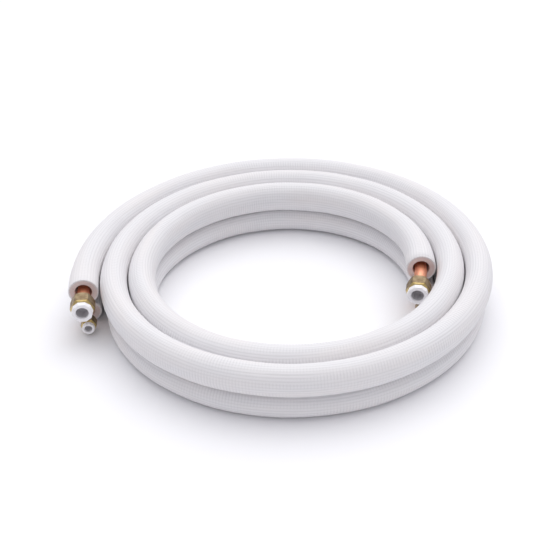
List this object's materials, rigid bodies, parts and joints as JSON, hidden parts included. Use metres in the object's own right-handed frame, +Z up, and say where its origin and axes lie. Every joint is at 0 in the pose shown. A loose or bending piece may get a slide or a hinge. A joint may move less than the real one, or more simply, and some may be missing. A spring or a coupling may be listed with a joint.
{
  "type": "pre-insulated copper tube",
  "caption": "Pair coil of foam-insulated copper tubes, a larger one on a smaller one, wound in a flat spiral, with flare nuts and white plugs on the tube ends.",
  "frame": {"origin": "middle of the footprint on the floor that the coil lies on", "axes": "+Z up, through the flat coil; the tube ends point to -Y, the inner one at +X and the outer one at -X"},
  "size_m": [0.4348, 0.417, 0.0591],
  "materials": {
    "foam_sleeve": "white embossed polyethylene film on closed-cell foam, matte",
    "copper": "soft annealed copper, satin, slightly oxidised",
    "brass": "forged and turned brass, dull with bright chamfers",
    "white_plastic": "white moulded polyethylene, satin"
  },
  "bodies": {
    "root": {"gas_insulation": "foam_sleeve", "gas_copper_tube": "copper", "gas_flare_nut_inner": "brass", "gas_flare_nut_outer": "brass", "gas_plug_inner": "white_plastic", "gas_plug_outer": "white_plastic", "liquid_insulation": "foam_sleeve", "liquid_copper_tube": "copper", "liquid_flare_nut_inner": "brass", "liquid_flare_nut_outer": "brass", "liquid_plug_inner": "white_plastic", "liquid_plug_outer": "white_plastic"}
  },
  "joints": []
}
